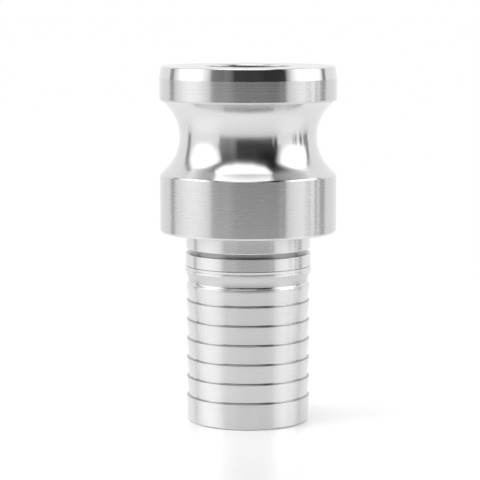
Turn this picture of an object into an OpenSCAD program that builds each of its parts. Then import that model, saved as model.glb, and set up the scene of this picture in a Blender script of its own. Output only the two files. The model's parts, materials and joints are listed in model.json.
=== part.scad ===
// Male cam and groove adapter with a barbed hose shank, turned from one bar.
// It stands on the end of its shank: Z = 0 is that end, and Z is the turning axis.
// All heights are worked out from the end of the shank upwards.

/* [Bore] */
// Diameter of the bore that runs right through
bore_d = 18; // [10:0.5:22]
// Edge break at both mouths of the bore
bore_break = 0.25; // [0.1:0.05:0.8]

/* [Hose barbs] */
// Diameter over the crests of the barbs
barb_d = 25.6; // [25.2:0.1:28]
// Depth of the barbs, from crest to root
barb_depth = 0.43; // [0.2:0.01:0.8]
// Distance from one crest to the next
barb_pitch = 4; // [2.5:0.25:6]
// Number of barbs of full pitch
barb_count = 6; // [2:1:9]
// Height of the steep shoulder above each crest, which holds the hose
barb_shoulder = 0.25; // [0.1:0.05:1]
// Width of the flat that is left on each crest
crest_flat = 0.15; // [0.05:0.05:0.4]
// Height of the lowest crest above the end of the shank
end_l = 5.35; // [3:0.05:10]
// Diameter at the end of the shank, where the hose goes on
end_d = 25.2; // [24:0.1:25.6]
// Edge break around the end of the shank
end_break = 0.3; // [0.1:0.05:0.8]

/* [Blunt barb and collar] */
// Height of the blunt top barb above the last full barb
blunt_rise = 3.55; // [2.5:0.05:6]
// Width of the flat on the blunt barb
blunt_flat = 0.5; // [0.2:0.1:1.5]
// Height of the shoulder above the blunt barb
blunt_shoulder = 0.4; // [0.2:0.05:0.8]
// Depth of the relief between the blunt barb and the collar
relief_depth = 0.3; // [0.1:0.05:0.6]
// Height of the collar's lower edge above the blunt barb
collar_rise = 2.6; // [2.1:0.1:5]
// Height of the flare that widens from the relief to the collar
flare_h = 1.2; // [0.5:0.05:1.2]
// Diameter of the collar that stops the hose
collar_d = 26.05; // [25.8:0.05:28]
// Width of the bead at the foot of the collar
bead_w = 0.5; // [0.3:0.05:0.9]
// How far the bead stands out from the collar
bead_proud = 0.12; // [0.02:0.01:0.2]
// Width of the shallow vee line above the bead
vee_w = 0.7; // [0.4:0.05:1.5]
// Depth of the vee line
vee_depth = 0.1; // [0.05:0.01:0.3]
// Share of the vee's width that lies below its floor
vee_low = 0.25; // [0.2:0.05:0.7]

/* [Neck and ferrule groove] */
// Height from the collar's lower edge to the underside of the body
neck_l = 8.2; // [7:0.05:16]
// Diameter of the neck between the ferrule groove and the body
neck_d = 25.82; // [25:0.02:28]
// Distance from the underside of the body to the middle of the groove
ferrule_drop = 3.95; // [2:0.05:4.5]
// Width of the groove that a ferrule locks into
ferrule_w = 0.9; // [0.4:0.05:1.6]
// Depth of that groove below the collar
ferrule_depth = 0.9; // [0.3:0.05:1.2]
// Edge break on both sides of that groove
ferrule_break = 0.15; // [0.1:0.05:0.4]

/* [Body] */
// Diameter of the body below the cam groove
body_d = 36.55; // [34:0.05:38]
// Height from the underside of the body to the middle of the cam groove
body_rise = 19.75; // [14:0.05:26]
// Edge break around the body, top and bottom
body_break = 0.25; // [0.1:0.05:0.8]

/* [Cam groove] */
// Diameter at the floor of the cam groove
groove_d = 28.5; // [27:0.1:32]
// Radius of the groove's section, which the cam arms bear on
groove_r = 9.2; // [8.5:0.1:13]

/* [Rim and sealing face] */
// Diameter of the rim that enters the coupler
rim_d = 36.7; // [34:0.05:38]
// Height from the middle of the cam groove to the sealing face
face_rise = 14.55; // [13:0.05:18]
// Height of the tapered lead at the top of the rim
lead_h = 2.5; // [1:0.1:3.5]
// How much smaller the rim is across at the top of its lead
lead_drop = 0.6; // [0.1:0.1:1.5]
// Edge break around the sealing face
face_break = 0.3; // [0.1:0.05:0.6]
// Edge break under the rim
rim_break = 0.2; // [0.1:0.05:0.6]

/* [Hidden] */
$fn = 180;

// Radii
bore_r = bore_d / 2;
crest_r = barb_d / 2;
root_r = crest_r - barb_depth;
relief_r = crest_r - relief_depth;
collar_r = collar_d / 2;
bead_r = collar_r + bead_proud;
neck_r = neck_d / 2;
ferrule_r = collar_r - ferrule_depth;
body_r = body_d / 2;
rim_r = rim_d / 2;
lead_r = rim_r - lead_drop / 2;
groove_axis_r = groove_d / 2 + groove_r;

// Heights above the end of the shank
last_crest_z = end_l + (barb_count - 1) * barb_pitch;
blunt_z = last_crest_z + blunt_rise;
collar_z = blunt_z + collar_rise;
vee_z = collar_z + bead_w;
body_z = collar_z + neck_l;
ferrule_z = body_z - ferrule_drop;
groove_z = body_z + body_rise;
face_z = groove_z + face_rise;

// Half the width of the cam groove where it runs out at radius r
function groove_reach(r) = sqrt(pow(groove_r, 2) - pow(groove_axis_r - r, 2));

// Taper, crest and shoulder of one barb, with its crest at height z
function barb(z) = [
    [crest_r, z - crest_flat],
    [crest_r, z],
    [root_r, z + barb_shoulder]
];

// Every outline below is a list of [radius, height], from the bottom up
function shank_end() = [
    [bore_r + bore_break, 0],
    [end_d / 2 - end_break, 0],
    [end_d / 2, end_break]
];

function barbs() = [
    for (i = [0 : barb_count - 1], p = barb(end_l + i * barb_pitch)) p
];

function blunt_barb() = [
    [crest_r, blunt_z - blunt_flat],
    [crest_r, blunt_z],
    [relief_r, blunt_z + blunt_shoulder]
];

function collar() = [
    [relief_r, collar_z - flare_h],
    [collar_r, collar_z],
    [bead_r, collar_z],
    [bead_r, vee_z],
    [collar_r - vee_depth, vee_z + vee_w * vee_low],
    [collar_r, vee_z + vee_w]
];

function ferrule_groove() = [
    [collar_r, ferrule_z - ferrule_w / 2 - ferrule_break],
    [collar_r - ferrule_break, ferrule_z - ferrule_w / 2],
    [ferrule_r, ferrule_z - ferrule_w / 2],
    [ferrule_r, ferrule_z + ferrule_w / 2],
    [neck_r - ferrule_break, ferrule_z + ferrule_w / 2],
    [neck_r, ferrule_z + ferrule_w / 2 + ferrule_break]
];

function body() = [
    [neck_r, body_z],
    [body_r - body_break, body_z],
    [body_r, body_z + body_break],
    [body_r, groove_z]
];

function rim() = [
    [rim_r, groove_z],
    [rim_r, face_z - lead_h],
    [lead_r, face_z - face_break],
    [lead_r - face_break, face_z],
    [bore_r + bore_break, face_z]
];

function bore() = [
    [bore_r, face_z - bore_break],
    [bore_r, bore_break]
];

// The round tool that cuts the cam groove, seen in section
module cam_groove() {
    translate([groove_axis_r, groove_z]) circle(r = groove_r);
}

// Takes the sharp corner off an edge of the cam groove: side is 1 above the groove and -1 below.
// The cut starts at height size on the outer wall and leans in by 1 in 2.
module groove_edge(r, size, side) {
    translate([r, groove_z + side * groove_reach(r)])
        polygon([[0, side * size], [2 * size, 0], [-size, -side * size]]);
}

module section() {
    difference() {
        polygon(concat(
            shank_end(),
            barbs(),
            blunt_barb(),
            collar(),
            ferrule_groove(),
            body(),
            rim(),
            bore()
        ));
        cam_groove();
        groove_edge(body_r, body_break, -1);
        groove_edge(rim_r, rim_break, 1);
    }
}

module adapter() {
    color([0.78, 0.79, 0.80])
        rotate_extrude()
            section();
}

adapter();
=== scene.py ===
import bpy
import bmesh
import json
from math import asin, cos, hypot, pi, radians, sin, sqrt, tan
from mathutils import Matrix, Vector


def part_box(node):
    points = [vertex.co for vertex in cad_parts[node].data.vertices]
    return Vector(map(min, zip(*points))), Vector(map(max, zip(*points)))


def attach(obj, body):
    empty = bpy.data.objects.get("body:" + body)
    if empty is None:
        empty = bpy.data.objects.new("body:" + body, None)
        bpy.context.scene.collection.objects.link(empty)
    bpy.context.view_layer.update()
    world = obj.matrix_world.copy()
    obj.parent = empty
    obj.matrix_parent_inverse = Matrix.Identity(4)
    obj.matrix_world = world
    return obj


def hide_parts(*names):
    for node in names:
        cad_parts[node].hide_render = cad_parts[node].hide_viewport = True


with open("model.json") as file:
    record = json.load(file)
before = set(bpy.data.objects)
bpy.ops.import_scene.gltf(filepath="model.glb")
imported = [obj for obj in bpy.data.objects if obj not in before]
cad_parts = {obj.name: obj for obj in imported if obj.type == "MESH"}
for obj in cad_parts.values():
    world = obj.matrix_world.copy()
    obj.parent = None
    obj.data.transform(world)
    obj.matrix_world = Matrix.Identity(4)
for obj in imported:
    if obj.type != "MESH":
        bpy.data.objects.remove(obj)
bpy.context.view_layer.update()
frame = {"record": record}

mm = 0.001
mounts = {m["name"]: m for m in frame["record"]["mounts"]}
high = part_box("adapter")[1]
print("frame loaded, the adapter stands", round(high.z / mm, 2), "mm high")

# camera

cameraSetup = {
    "place": (0, -426.8, 89.6),   # mm, with the shank's end at the origin
    "target": (-1.69, 0, 37.8),
    "lens": 154.7,
    "sensor": 36,
}


def placeCamera(setup):
    camera = bpy.data.objects.new("camera", bpy.data.cameras.new("camera"))
    camera.data.lens = setup["lens"]
    camera.data.sensor_width = setup["sensor"]
    camera.location = Vector(setup["place"]) * mm
    sight = Vector(setup["target"]) * mm - camera.location
    camera.rotation_euler = sight.to_track_quat("-Z", "Y").to_euler()
    bpy.context.scene.collection.objects.link(camera)
    bpy.context.scene.camera = camera


placeCamera(cameraSetup)
print("camera placed")

# the adapter: one outline, drawn from the bore's lower edge outwards and up, then turned round Z

adapter = {
    "rimRadius": high.x / mm,
    "faceHeight": high.z / mm,
    "boreRadius": mounts["flow_bore"]["dims"]["r_mm"],
    "boreBreak": 0.25,
    "endRadius": 12.6,
    "endBreak": 0.3,
    "endLength": 5.35,       # up to the lowest crest
    "barbRadius": 12.8,
    "barbDepth": 0.43,
    "barbPitch": 4,
    "barbCount": 6,
    "barbShoulder": 0.04,
    "crestFlat": 0.15,
    "bluntRise": 3.55,       # above the last full barb
    "bluntFlat": 0.5,
    "bluntShoulder": 0.4,
    "reliefDepth": 0.3,      # between the blunt barb and the collar
    "reliefTaper": 0.08,
    "collarRise": 2.6,       # above the blunt barb
    "flareHeight": 1.2,
    "collarRadius": 13.025,
    "beadWidth": 0.5,
    "beadProud": 0.12,
    "beadTaper": 0.04,
    "veeWidth": 0.7,
    "veeDepth": 0.1,
    "veeLow": 0.25,          # share of the vee below its floor
    "scribedWidth": 0.2,     # a fine line above the vee
    "scribedDepth": 0.07,
    "neckLength": 8.2,       # from the collar's edge to the body
    "neckRadius": 12.91,
    "ferruleDrop": 3.95,     # below the body
    "ferruleWidth": 0.9,
    "ferruleDepth": 0.9,
    "ferruleBreak": 0.15,
    "neckRounding": 0.3,     # over the ferrule groove
    "bodyRadius": 18.275,
    "bodyRounding": 0.5,
    "grooveHeight": mounts["cam_groove"]["pos_m"][2] / mm,
    "grooveFloor": 14.25,    # radius at the floor of the cam groove
    "grooveRadius": 9.2,     # radius of its section
    "grooveBreak": 0.24,
    "lipAngle": 46,          # where the wall leaves the round, in degrees below its middle
    "lipBreak": 0.15,
    "lipDrop": 0.12,         # how far that break reaches down the body
    "leadHeight": 2.5,
    "leadDrop": 0.3,
    "faceBreak": 0.18,
    "rootRounding": 0.4,     # along both walls, left by the nose of the turning tool
    "reliefRounding": 0.18,
    "fineRounding": 0.05,
    "edgeRounding": 0.08,
    "mergeDistance": 0.0005,
    "sharpAngle": 25,        # edges with more degrees between their faces stay sharp
    "roundingSteps": 4,
    "grooveSteps": 44,
    "turnSteps": 288,
}

# finishes, all of one bare stainless steel; two have darker tones that are painted shade, in the grooves and
# ledges and under the collar

finishes = {
    "turned steel": {
        "tone": 0.72, "roughness": 0.27, "spread": 0.03,
        "anisotropy": 0.95, "lineScale": 2400, "lineDepth": 0.15,
    },
    "polished steel": {
        "tone": 0.7, "roughness": 0.12, "spread": 0.01,
        "anisotropy": 0.5, "lineScale": 1600, "lineDepth": 0.02,
    },
    "satin steel": {
        "tone": 0.7, "roughness": 0.28, "spread": 0.02,
        "anisotropy": 0.9, "lineScale": 2600, "lineDepth": 0.06,
    },
    "faced steel": {
        "tone": 0.72, "roughness": 0.2, "spread": 0.03,
        "anisotropy": 0.5, "lineScale": 2000, "lineDepth": 0.1,
    },
    "bored steel": {
        "tone": 0.65, "roughness": 0.18, "spread": 0.03,
        "anisotropy": 0.5, "lineScale": 1200, "lineDepth": 0.1,
    },
    # darker tone painted into recesses: painted shade in the ferrule groove, the scribed line and under the
    # barb ledges
    "shade-painted steel": {
        "tone": 0.36, "roughness": 0.3, "spread": 0.04,
        "anisotropy": 0.8, "lineScale": 3000, "lineDepth": 0.3,
    },
    # darker tone under the collar: painted shade, a darker reflection on the relief and flare
    "under-collar shaded steel": {
        "tone": 0.6, "roughness": 0.28, "spread": 0.02,
        "anisotropy": 0.9, "lineScale": 2600, "lineDepth": 0.06,
    },
    "groove steel": {
        "tone": 0.7, "roughness": 0.165, "spread": 0.02,
        "anisotropy": 0.9, "lineScale": 1800, "lineDepth": 0.03,
    },
    "coarse steel": {
        "tone": 0.63, "roughness": 0.27, "spread": 0.03,
        "anisotropy": 0.95, "lineScale": 2200, "lineDepth": 0.2,
    },
}

finishReach = {              # how far a finish goes past its own wall, in mm
    "bore": 0.225,
    "face": 0.02,
    "camGroove": 0.4,
    "ferruleGroove": 0.01,
}

finishSlopes = {             # how much of a face's normal points up, from 0 to 1
    "bluntShoulder": 0.5,
    "barbShoulder": 0.3,
    "fillet": 0.03,
}


def outlineHeights(size):
    lastCrest = size["endLength"] + (size["barbCount"] - 1) * size["barbPitch"]
    blunt = lastCrest + size["bluntRise"]
    collar = blunt + size["collarRise"]
    beadTop = collar + size["beadWidth"]
    body = collar + size["neckLength"]
    return {
        "blunt": blunt, "collar": collar, "beadTop": beadTop, "veeTop": beadTop + size["veeWidth"],
        "body": body, "ferrule": body - size["ferruleDrop"],
    }


def reliefRadius(size):
    return size["barbRadius"] - size["reliefDepth"]


def corner(outline, radius, height, rounding=0):
    # the next point of the outline, joined to the last one
    point = outline["bm"].verts.new((radius * mm, 0, height * mm))
    if outline["end"]:
        outline["bm"].edges.new((outline["end"], point))
    else:
        outline["start"] = point
    outline["end"] = point
    outline["soft"].setdefault(rounding, []).append(point)
    return point


def scribedLine(outline, size, radius, height):
    corner(outline, radius, height - size["scribedWidth"] / 2)
    corner(outline, radius - size["scribedDepth"], height)
    corner(outline, radius, height + size["scribedWidth"] / 2)


def drawShankEnd(outline, size):
    soft = size["edgeRounding"]
    corner(outline, size["boreRadius"] + size["boreBreak"], 0, soft)
    corner(outline, size["endRadius"] - size["endBreak"], 0, soft)
    corner(outline, size["endRadius"], size["endBreak"], soft)


def drawBarbs(outline, size):
    soft = size["fineRounding"]
    root = size["barbRadius"] - size["barbDepth"]
    for number in range(size["barbCount"]):
        crest = size["endLength"] + number * size["barbPitch"]
        corner(outline, size["barbRadius"], crest - size["crestFlat"], soft)
        corner(outline, size["barbRadius"], crest)
        corner(outline, root, crest + size["barbShoulder"], size["rootRounding"])


def drawBluntBarb(outline, size, heights):
    soft = size["fineRounding"]
    shoulderTop = heights["blunt"] + size["bluntShoulder"]
    corner(outline, size["barbRadius"], heights["blunt"] - size["bluntFlat"], soft)
    corner(outline, size["barbRadius"], heights["blunt"], soft)
    corner(outline, reliefRadius(size) - size["reliefTaper"], shoulderTop, size["reliefRounding"])


def drawCollar(outline, size, heights):
    soft = size["fineRounding"]
    beadRadius = size["collarRadius"] + size["beadProud"]
    veeFloor = heights["beadTop"] + size["veeWidth"] * size["veeLow"]
    corner(outline, reliefRadius(size), heights["collar"] - size["flareHeight"], size["rootRounding"])
    corner(outline, size["collarRadius"], heights["collar"], soft)
    corner(outline, beadRadius - size["beadTaper"], heights["collar"], soft)
    corner(outline, beadRadius, heights["beadTop"], soft)
    corner(outline, size["collarRadius"] - size["veeDepth"], veeFloor, soft)
    scribedLine(outline, size, size["collarRadius"], heights["veeTop"])


def drawFerruleGroove(outline, size, heights):
    soft = size["fineRounding"]
    cut = size["ferruleBreak"]
    floor = size["collarRadius"] - size["ferruleDepth"]
    lower = heights["ferrule"] - size["ferruleWidth"] / 2
    upper = heights["ferrule"] + size["ferruleWidth"] / 2
    corner(outline, size["collarRadius"], lower - cut, soft)
    corner(outline, size["collarRadius"] - cut, lower, soft)
    corner(outline, floor, lower, soft)
    corner(outline, floor, upper, soft)
    corner(outline, size["neckRadius"], upper, size["neckRounding"])


def drawBody(outline, size, heights):
    soft = size["edgeRounding"]
    corner(outline, size["neckRadius"], heights["body"], soft)
    corner(outline, size["bodyRadius"], heights["body"], size["bodyRounding"])


def grooveReach(size, radius):
    # half the width of the cam groove where a wall of this radius meets it
    return sqrt(size["grooveRadius"] ** 2 - (size["grooveFloor"] + size["grooveRadius"] - radius) ** 2)


def drawCamGroove(outline, size):
    # the lowest part of the wall runs out straight, the rest is round up to the rim
    above = grooveReach(size, size["rimRadius"])
    middle = size["grooveFloor"] + size["grooveRadius"]
    lip = radians(size["lipAngle"])
    start = middle - size["grooveRadius"] * cos(lip)
    height = size["grooveHeight"] - size["grooveRadius"] * sin(lip)
    edge = height - (size["bodyRadius"] - start) / tan(lip)
    cut = size["lipBreak"]
    corner(outline, size["bodyRadius"], edge - size["lipDrop"])
    corner(outline, size["bodyRadius"] - cut, edge + cut / tan(lip), size["fineRounding"])
    foot = corner(outline, start, height)
    arc = bmesh.ops.spin(
        outline["bm"], geom=[foot], cent=Vector((middle, 0, size["grooveHeight"])) * mm, axis=(0, 1, 0),
        dvec=(0, 0, 0), angle=lip + asin(above / size["grooveRadius"]), steps=size["grooveSteps"],
        use_merge=False, use_duplicate=False)
    outline["end"] = arc["geom_last"][0]
    outline["grooveEdges"] = [outline["end"]]


def drawRim(outline, size):
    soft = size["edgeRounding"]
    top = size["faceHeight"]
    leadRadius = size["rimRadius"] - size["leadDrop"]
    corner(outline, size["rimRadius"], top - size["leadHeight"], soft)
    corner(outline, leadRadius, top - size["faceBreak"], soft)
    corner(outline, leadRadius - size["faceBreak"], top, soft)
    corner(outline, size["boreRadius"] + size["boreBreak"], top, soft)


def drawBore(outline, size):
    soft = size["edgeRounding"]
    corner(outline, size["boreRadius"], size["faceHeight"] - size["boreBreak"], soft)
    corner(outline, size["boreRadius"], size["boreBreak"], soft)
    outline["bm"].edges.new((outline["end"], outline["start"]))


def roundCorners(outline, size):
    # the edge under the rim gets a flat break first, the rest a small radius
    bm = outline["bm"]
    bmesh.ops.bevel(
        bm, geom=outline["grooveEdges"], offset=size["grooveBreak"] * mm, offset_type="OFFSET",
        segments=1, profile=0.5, affect="VERTICES", material=-1)
    for rounding, points in outline["soft"].items():
        if rounding:
            bmesh.ops.bevel(
                bm, geom=points, offset=rounding * mm, offset_type="OFFSET",
                segments=size["roundingSteps"], profile=0.5, affect="VERTICES", material=-1)


def finishOf(radius, height, slope, size, heights):
    # the name of the finish for a face at this radius and height
    grooveTop = size["grooveHeight"] + grooveReach(size, size["rimRadius"])
    grooveBottom = size["grooveHeight"] - grooveReach(size, size["bodyRadius"]) - finishReach["camGroove"]
    shoulderTop = heights["blunt"] + size["bluntShoulder"]
    if radius < size["boreRadius"] + finishReach["bore"]:
        return "bored steel"
    if height > size["faceHeight"] - finishReach["face"]:
        return "faced steel"
    if height > size["faceHeight"] - size["leadHeight"]:
        return "polished steel"
    if grooveBottom < height < grooveTop:
        return "groove steel"
    # the ferrule groove and the scribed line get the darker steel, which is painted shade
    if abs(height - heights["ferrule"]) < size["ferruleWidth"] / 2 + finishReach["ferruleGroove"]:
        return "shade-painted steel"
    if abs(height - heights["veeTop"]) < size["scribedWidth"] / 2:
        return "shade-painted steel"
    if heights["beadTop"] < height < heights["veeTop"]:
        return "polished steel"
    if height > grooveTop or heights["body"] + size["bodyRounding"] < height < grooveBottom:
        return "coarse steel"
    if height > heights["collar"]:
        return "turned steel"
    if slope > finishSlopes["bluntShoulder"] and heights["blunt"] < height < shoulderTop:
        return "satin steel"
    # the barb ledges get the same darker steel, painted shade under each barb
    if slope > finishSlopes["barbShoulder"] and height < heights["blunt"]:
        return "shade-painted steel"
    if slope > finishSlopes["fillet"]:
        return "polished steel"
    # the relief and flare under the collar get a darker tone, which is painted shade
    if height > shoulderTop:
        return "under-collar shaded steel"
    return "satin steel"


def linkedObject(name, bm):
    mesh = bpy.data.meshes.new(name)
    bm.to_mesh(mesh)
    bm.free()
    made = bpy.data.objects.new(name, mesh)
    bpy.context.scene.collection.objects.link(made)
    return made


def turnAdapter(size):
    heights = outlineHeights(size)
    outline = {"bm": bmesh.new(), "start": None, "end": None, "soft": {}, "grooveEdges": []}
    drawShankEnd(outline, size)
    drawBarbs(outline, size)
    drawBluntBarb(outline, size, heights)
    drawCollar(outline, size, heights)
    drawFerruleGroove(outline, size, heights)
    drawBody(outline, size, heights)
    drawCamGroove(outline, size)
    drawRim(outline, size)
    drawBore(outline, size)
    roundCorners(outline, size)
    bm = outline["bm"]
    bmesh.ops.spin(
        bm, geom=bm.verts[:] + bm.edges[:], cent=(0, 0, 0), axis=(0, 0, 1), dvec=(0, 0, 0),
        angle=2 * pi, steps=size["turnSteps"], use_merge=True, use_duplicate=False)
    bmesh.ops.remove_doubles(bm, verts=bm.verts[:], dist=size["mergeDistance"] * mm)
    bmesh.ops.recalc_face_normals(bm, faces=bm.faces[:])
    for edge in bm.edges:
        edge.smooth = edge.calc_face_angle(0) < radians(size["sharpAngle"])
    finishNames = list(finishes)
    for face in bm.faces:
        middle = face.calc_center_median()
        finish = finishOf(hypot(middle.x, middle.y) / mm, middle.z / mm, face.normal.z, size, heights)
        face.smooth = True
        face.material_index = finishNames.index(finish)
    piece = linkedObject("turned_adapter", bm)
    normals = piece.modifiers.new("flat walls stay flat", "WEIGHTED_NORMAL")
    normals.keep_sharp = True
    normals.weight = 100
    return piece


turnedAdapter = turnAdapter(adapter)
print("adapter turned,", len(turnedAdapter.data.polygons), "faces")

# turning lines and the steel itself

ringLook = {
    "stretch": 6,            # low, because the rings hardly change along the turn
    "detail": 3,
    "roughness": 0.6,
    "shades": (0.94, 1.04),  # darkest and lightest share of the tone
    "rotation": 0.25,        # highlights run across the rings
    "depth": 0.01,           # mm
}


def latheLines(nodes, links, look):
    # fine rings round Z: noise that is drawn out along the turn and tight along the height
    place = nodes.new("ShaderNodeTexCoord")
    stretch = nodes.new("ShaderNodeMapping")
    stretch.inputs["Scale"].default_value = (ringLook["stretch"], ringLook["stretch"], look["lineScale"])
    lines = nodes.new("ShaderNodeTexNoise")
    lines.inputs["Scale"].default_value = 1
    lines.inputs["Detail"].default_value = ringLook["detail"]
    lines.inputs["Roughness"].default_value = ringLook["roughness"]
    links.new(place.outputs["Object"], stretch.inputs["Vector"])
    links.new(stretch.outputs["Vector"], lines.inputs["Vector"])
    return lines.outputs["Fac"]


def steelFinish(name, look):
    material = bpy.data.materials.new(name)
    material.use_nodes = True
    nodes = material.node_tree.nodes
    links = material.node_tree.links
    steel = nodes["Principled BSDF"]
    steel.inputs["Metallic"].default_value = 1
    steel.inputs["Anisotropic"].default_value = look["anisotropy"]
    steel.inputs["Anisotropic Rotation"].default_value = ringLook["rotation"]
    lines = latheLines(nodes, links, look)

    tone = nodes.new("ShaderNodeValToRGB")
    for step, share in zip(tone.color_ramp.elements, ringLook["shades"]):
        shade = look["tone"] * share
        step.color = (shade, shade, shade, 1)
    links.new(lines, tone.inputs["Fac"])
    links.new(tone.outputs["Color"], steel.inputs["Base Color"])

    gloss = nodes.new("ShaderNodeMapRange")
    gloss.inputs["To Min"].default_value = look["roughness"] - look["spread"]
    gloss.inputs["To Max"].default_value = look["roughness"] + look["spread"]
    links.new(lines, gloss.inputs["Value"])
    links.new(gloss.outputs["Result"], steel.inputs["Roughness"])

    relief = nodes.new("ShaderNodeBump")
    relief.inputs["Strength"].default_value = look["lineDepth"]
    relief.inputs["Distance"].default_value = ringLook["depth"] * mm
    links.new(lines, relief.inputs["Height"])
    links.new(relief.outputs["Normal"], steel.inputs["Normal"])

    grain = nodes.new("ShaderNodeTangent")
    grain.direction_type = "RADIAL"
    grain.axis = "Z"
    links.new(grain.outputs["Tangent"], steel.inputs["Tangent"])
    return material


for name, look in finishes.items():
    turnedAdapter.data.materials.append(steelFinish(name, look))
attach(turnedAdapter, "root")
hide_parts("adapter")
print("finishes on")

# floor

floorLook = {
    "size": 12,
    "paper": 0.9,
    # share of even white by distance in mm
    "glow": [(12.6, 0), (18, 0.2), (45, 0.7), (240, 1)],
    "gloss": 0.3,            # roughness of the clear coat
}


def makeFloor(look):
    bm = bmesh.new()
    bmesh.ops.create_grid(bm, x_segments=1, y_segments=1, size=look["size"] / 2)
    floor = linkedObject("floor", bm)
    return floor


def emptyTree(owner):
    owner.use_nodes = True
    owner.node_tree.nodes.clear()
    return owner.node_tree.nodes, owner.node_tree.links


def fillRamp(ramp, stops):
    # stops run from 0 to 1 and each holds its tone
    while len(ramp.elements) < len(stops):
        ramp.elements.new(0.5)
    for step, (place, tone) in zip(ramp.elements, stops):
        step.position = place
        step.color = (tone, tone, tone, 1)


def whitePaper(look):
    # coated paper near the object, which holds its shadow, and even white further off
    material = bpy.data.materials.new("white paper")
    nodes, links = emptyTree(material)
    reach = look["glow"][-1][0]
    place = nodes.new("ShaderNodeTexCoord")
    distance = nodes.new("ShaderNodeVectorMath")
    distance.operation = "LENGTH"
    along = nodes.new("ShaderNodeMapRange")
    along.inputs["From Max"].default_value = reach * mm
    share = nodes.new("ShaderNodeValToRGB")
    fillRamp(share.color_ramp, [(away / reach, glow) for away, glow in look["glow"]])
    paper = nodes.new("ShaderNodeBsdfDiffuse")
    paper.inputs["Color"].default_value = (look["paper"], look["paper"], look["paper"], 1)
    white = nodes.new("ShaderNodeEmission")
    sheet = nodes.new("ShaderNodeMixShader")
    coat = nodes.new("ShaderNodeBsdfGlossy")
    coat.distribution = "MULTI_GGX"
    coat.inputs["Color"].default_value = (1, 1, 1, 1)
    coat.inputs["Roughness"].default_value = look["gloss"]
    edge = nodes.new("ShaderNodeFresnel")
    coated = nodes.new("ShaderNodeMixShader")
    output = nodes.new("ShaderNodeOutputMaterial")
    links.new(place.outputs["Object"], distance.inputs[0])
    links.new(distance.outputs["Value"], along.inputs["Value"])
    links.new(along.outputs["Result"], share.inputs["Fac"])
    links.new(share.outputs["Color"], sheet.inputs["Fac"])
    links.new(paper.outputs["BSDF"], sheet.inputs[1])
    links.new(white.outputs["Emission"], sheet.inputs[2])
    links.new(edge.outputs["Fac"], coated.inputs["Fac"])
    links.new(sheet.outputs["Shader"], coated.inputs[1])
    links.new(coat.outputs["BSDF"], coated.inputs[2])
    links.new(coated.outputs["Shader"], output.inputs["Surface"])
    return material


floor = makeFloor(floorLook)
floor.data.materials.append(whitePaper(floorLook))
print("floor laid")

# studio: turn is the direction round the object, with 0 in front and 90 on the right, in degrees.
# Each card has its tones by height above its foot, and shares of them by turn in "across". Apart from the
# softboxes, these tones are painted light and shade of the room, glowing though the cards are no lamps.

uprightCards = [
    {
        "name": "left softbox", "turn": (-118, -42), "lean": -2, "away": 450, "bottom": 78, "top": 540,
        "tones": {0: 1.35, 40: 1.9, 110: 2.2, 200: 2.8, 462: 2.8},
        "across": {
            -118: 0.5, -108: 0.5, -100: 0.68, -92: 0.94, -80: 1,
            -66: 0.8, -57: 0.55, -52: 0.42, -48: 0.2, -42: 0,
        },
    },
    {
        "name": "right softbox", "turn": (43, 118), "lean": -7, "away": 450, "bottom": 76, "top": 550,
        "tones": {0: 1.2, 40: 1.65, 110: 2, 200: 2.6, 474: 2.6},
        "across": {43: 0, 48: 0.14, 53: 0.42, 58: 0.66, 64: 0.82, 74: 1, 98: 1, 112: 0.35, 118: 0.35},
    },
    # the front cards are brighter at their foot: painted bounce light from the floor
    {
        "name": "front left", "turn": (-47, -18), "away": 216, "bottom": 8, "top": 300,
        "tones": {0: 0.5, 15: 0.36, 125: 0.28, 195: 0.14, 292: 0.1},
        "across": {-47: 1, -40: 0.8, -32: 0.72, -27: 0.9, -22: 0.7, -18: 0.45},
    },
    {
        "name": "front middle", "turn": (-18, 18), "away": 216, "bottom": 10, "top": 310,
        "tones": {0: 0.3, 8: 0.1, 40: 0.03, 120: 0.07, 180: 0.025, 297: 0.015},
        "across": {-18: 0.9, -8: 1, -1: 0.85, 4: 0.85, 10: 0.95, 18: 0.75},
    },
    {
        "name": "front right", "turn": (18, 48), "away": 216, "bottom": 10, "top": 320,
        "tones": {0: 0.3, 10: 0.1, 50: 0.05, 110: 0.04, 140: 0.02, 190: 0.01},
    },
    {"name": "bright slot", "turn": (40, 42), "away": 212, "top": 80, "tones": {0: 0.8, 80: 0.5}},
    {
        "name": "left flag", "turn": (-117, -107.2), "lean": 6, "away": 300, "top": 330,
        "tones": {0: 0.35, 90: 0.4, 330: 0.2},
    },
    {
        "name": "right flag", "turn": (108, 114.5), "lean": -4, "away": 300, "top": 250,
        "tones": {0: 0.3, 250: 0.3},
    },
    {"name": "stand 1", "turn": (78, 80.5), "away": 290, "top": 84, "tones": {0: 0.4, 84: 0.3}},
    {"name": "stand 2", "turn": (83, 86), "away": 290, "top": 84, "tones": {0: 0.15, 84: 0.05}},
    {"name": "stand 3", "turn": (93, 99), "away": 290, "top": 84, "tones": {0: 0.2, 84: 0.1}},
    {"name": "stand 4", "turn": (103, 108), "away": 290, "top": 84, "tones": {0: 0.3, 84: 0.15}},
]

# Cards overhead have their tones by distance behind their front edge, in mm.

ceilingCards = [
    {
        "name": "top softbox", "sides": (-294, 190), "front": -392, "back": 92, "height": 560,
        "corners": 8, "tones": {0: 1.6, 60: 1.9},
    },
    {
        "name": "over the left", "sides": (-520, -75), "front": -480, "back": 200, "height": 575,
        "tones": {0: 0.1, 300: 0.14, 440: 0.26, 500: 0.4, 580: 0.56, 680: 0.72},
    },
    {
        "name": "over the right", "sides": (-75, 480), "front": -480, "back": 300, "height": 575,
        "tones": {0: 0.01, 330: 0.02, 400: 0.1, 480: 0.28, 560: 0.48, 740: 0.7},
    },
]

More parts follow.
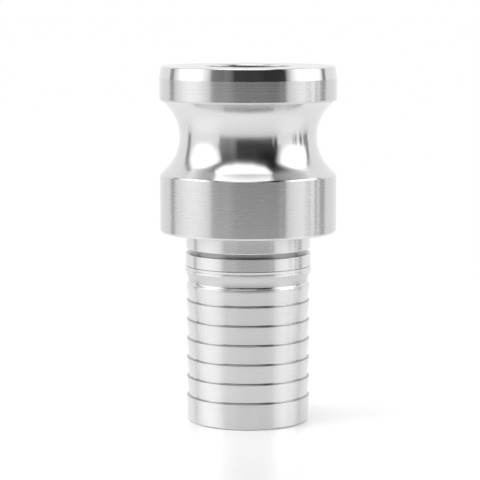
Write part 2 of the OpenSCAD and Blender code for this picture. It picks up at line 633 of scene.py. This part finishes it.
lamps = [
    {"name": "left lamp", "turn": -77, "away": 450, "width": 465, "height": 460, "lift": 310, "watts": 2.4},
    {"name": "right lamp", "turn": 81, "away": 450, "width": 540, "height": 470, "lift": 315, "watts": 1.1},
    {"name": "top lamp", "turn": 0, "away": 110, "width": 440, "height": 500, "lift": 560, "watts": 1.3},
]

worldLook = {"dome": 0.6}    # brightness of the even light on the floor


def around(turn, away, height=0):
    angle = radians(turn)
    return Vector((sin(angle) * away, -cos(angle) * away, height)) * mm


def cardPaint(card, reach, shares):
    # tones along Y in the card's own frame, and shares of them along X from edge to edge
    material = bpy.data.materials.new(card["name"])
    nodes, links = emptyTree(material)
    place = nodes.new("ShaderNodeTexCoord")
    axes = nodes.new("ShaderNodeSeparateXYZ")
    along = nodes.new("ShaderNodeMapRange")
    along.inputs["From Max"].default_value = reach * mm
    ramp = nodes.new("ShaderNodeValToRGB")
    top = max(card["tones"].values())
    fillRamp(ramp.color_ramp, [(height / reach, tone / top) for height, tone in card["tones"].items()])
    glow = nodes.new("ShaderNodeEmission")
    glow.inputs["Strength"].default_value = top
    output = nodes.new("ShaderNodeOutputMaterial")
    links.new(place.outputs["Object"], axes.inputs["Vector"])
    links.new(axes.outputs["Y"], along.inputs["Value"])
    links.new(along.outputs["Result"], ramp.inputs["Fac"])
    links.new(ramp.outputs["Color"], glow.inputs["Color"])
    links.new(glow.outputs["Emission"], output.inputs["Surface"])
    if shares:
        half = shares[-1][0]
        side = nodes.new("ShaderNodeMapRange")
        side.inputs["From Min"].default_value = -half * mm
        side.inputs["From Max"].default_value = half * mm
        across = nodes.new("ShaderNodeValToRGB")
        fillRamp(across.color_ramp, [((x / half + 1) / 2, share) for x, share in shares])
        strength = nodes.new("ShaderNodeMath")
        strength.operation = "MULTIPLY"
        strength.inputs[1].default_value = top
        links.new(axes.outputs["X"], side.inputs["Value"])
        links.new(side.outputs["Result"], across.inputs["Fac"])
        links.new(across.outputs["Color"], strength.inputs[0])
        links.new(strength.outputs["Value"], glow.inputs["Strength"])
    return material


def addCard(card, reach, width, place, across, along, shares):
    # a flat card with its foot or front edge at place, X across and Y along
    bm = bmesh.new()
    half = width / 2 * mm
    if "corners" in card:
        turn = pi / card["corners"]
        middle = Matrix.Translation((0, half, 0)) @ Matrix.Rotation(turn, 4, "Z")
        bmesh.ops.create_circle(
            bm, cap_ends=True, radius=half / cos(turn), segments=card["corners"], matrix=middle)
    else:
        outer = [(-half, 0), (half, 0), (half, reach * mm), (-half, reach * mm)]
        bm.faces.new([bm.verts.new((x, y, 0)) for x, y in outer])
    sheet = linkedObject(card["name"], bm)
    sheet.data.materials.append(cardPaint(card, reach, shares))
    axes = Matrix((across, along, across.cross(along))).transposed()
    lean = Matrix.Rotation(radians(card.get("lean", 0)), 3, "Z")
    sheet.matrix_world = Matrix.Translation(place) @ (axes @ lean).to_4x4()
    sheet.visible_camera = False
    sheet.visible_diffuse = False
    sheet.visible_shadow = False


def standCard(card):
    first, last = card["turn"]
    middle = (first + last) / 2
    away = card["away"]
    bottom = card.get("bottom", 0)
    width = 2 * away * tan(radians((last - first) / 2))
    shares = [(away * tan(radians(turn - middle)), share) for turn, share in card.get("across", {}).items()]
    foot = around(middle, away, bottom)
    across = around(middle + 90, 1).normalized()
    addCard(card, card["top"] - bottom, width, foot, across, Vector((0, 0, 1)), shares)


def hangCard(card):
    left, right = card["sides"]
    front = Vector(((left + right) / 2, card["front"], card["height"])) * mm
    addCard(card, card["back"] - card["front"], right - left, front, Vector((1, 0, 0)), Vector((0, 1, 0)), [])


def addLamp(lamp):
    # lights the floor only, while the metal sees the cards
    light = bpy.data.lights.new(lamp["name"], "AREA")
    light.shape = "RECTANGLE"
    light.size = lamp["width"] * mm
    light.size_y = lamp["height"] * mm
    light.energy = lamp["watts"]
    panel = bpy.data.objects.new(lamp["name"], light)
    panel.location = around(lamp["turn"], lamp["away"], lamp["lift"])
    panel.rotation_euler = (-panel.location).to_track_quat("-Z", "Y").to_euler()
    panel.visible_camera = False
    panel.visible_glossy = False
    bpy.context.scene.collection.objects.link(panel)


def studioWorld(look):
    # white for the camera and the metal, and a weaker even dome on the floor
    world = bpy.data.worlds.new("studio")
    bpy.context.scene.world = world
    nodes, links = emptyTree(world)
    rays = nodes.new("ShaderNodeLightPath")
    seen = nodes.new("ShaderNodeMath")
    seen.operation = "MAXIMUM"
    even = nodes.new("ShaderNodeBackground")
    even.inputs["Color"].default_value = (look["dome"], look["dome"], look["dome"], 1)
    white = nodes.new("ShaderNodeBackground")
    white.inputs["Color"].default_value = (1, 1, 1, 1)
    mix = nodes.new("ShaderNodeMixShader")
    output = nodes.new("ShaderNodeOutputWorld")
    links.new(rays.outputs["Is Camera Ray"], seen.inputs[0])
    links.new(rays.outputs["Is Glossy Ray"], seen.inputs[1])
    links.new(seen.outputs["Value"], mix.inputs["Fac"])
    links.new(even.outputs["Background"], mix.inputs[1])
    links.new(white.outputs["Background"], mix.inputs[2])
    links.new(mix.outputs["Shader"], output.inputs["Surface"])


for card in uprightCards:
    standCard(card)
for card in ceilingCards:
    hangCard(card)
for lamp in lamps:
    addLamp(lamp)
studioWorld(worldLook)
bpy.context.scene.view_settings.view_transform = "Standard"
print("studio lit")
